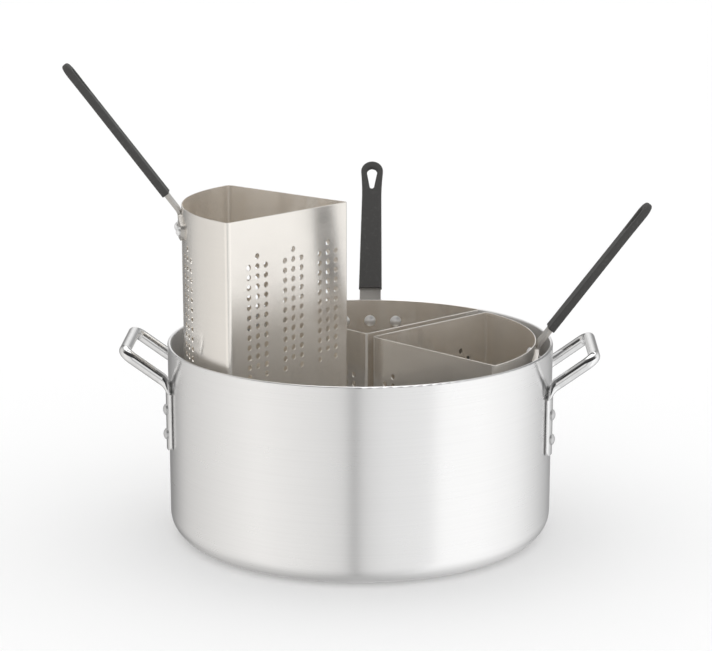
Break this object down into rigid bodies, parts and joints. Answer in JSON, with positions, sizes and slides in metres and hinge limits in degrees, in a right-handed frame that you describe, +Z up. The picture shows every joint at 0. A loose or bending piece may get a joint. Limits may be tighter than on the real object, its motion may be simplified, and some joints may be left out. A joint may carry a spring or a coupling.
{
  "type": "pasta cooker",
  "caption": "Round aluminium pot with riveted loop handles and perforated wedge-shaped steel insets that lift out by long vinyl-gripped handles.",
  "frame": {"origin": "centre of the pot's flat base", "axes": "+Z up, X through the two loop handles of the pot, and the pot's free quarter at -Y"},
  "size_m": [0.5482, 0.4611, 0.4502],
  "materials": {
    "pot_aluminium": "satin, fine brushing round the wall",
    "handle_chrome": "bright plating",
    "pot_rivet": "satin",
    "inset_steel": "fine level brushing with soft reflections",
    "strap_steel": "satin",
    "grip_vinyl": "dipped vinyl, matte",
    "inset_rivet": "polished"
  },
  "bodies": {
    "pot": {"pot_body": "pot_aluminium", "pot_handle_left": "handle_chrome", "pot_handle_right": "handle_chrome", "pot_handle_rivets_left": "pot_rivet", "pot_handle_rivets_right": "pot_rivet"},
    "left_inset": {"left_inset_wall": "inset_steel", "left_inset_bottom": "inset_steel", "left_inset_handle": "strap_steel", "left_inset_grip": "grip_vinyl", "left_inset_rivets": "inset_rivet"},
    "back_inset": {"back_inset_wall": "inset_steel", "back_inset_bottom": "inset_steel", "back_inset_handle": "strap_steel", "back_inset_grip": "grip_vinyl", "back_inset_rivets": "inset_rivet"},
    "right_inset": {"right_inset_wall": "inset_steel", "right_inset_bottom": "inset_steel", "right_inset_handle": "strap_steel", "right_inset_grip": "grip_vinyl", "right_inset_rivets": "inset_rivet"}
  },
  "joints": [
    {"name": "left_inset_lift", "type": "slide", "parent": "pot", "child": "left_inset", "axis": [0, 0, 1], "range_m": [-0.1319, 0.0681]},
    {"name": "back_inset_lift", "type": "slide", "parent": "pot", "child": "back_inset", "axis": [0, 0, 1], "range_m": [0, 0.2]},
    {"name": "right_inset_lift", "type": "slide", "parent": "pot", "child": "right_inset", "axis": [0, 0, 1], "range_m": [0, 0.2]}
  ]
}
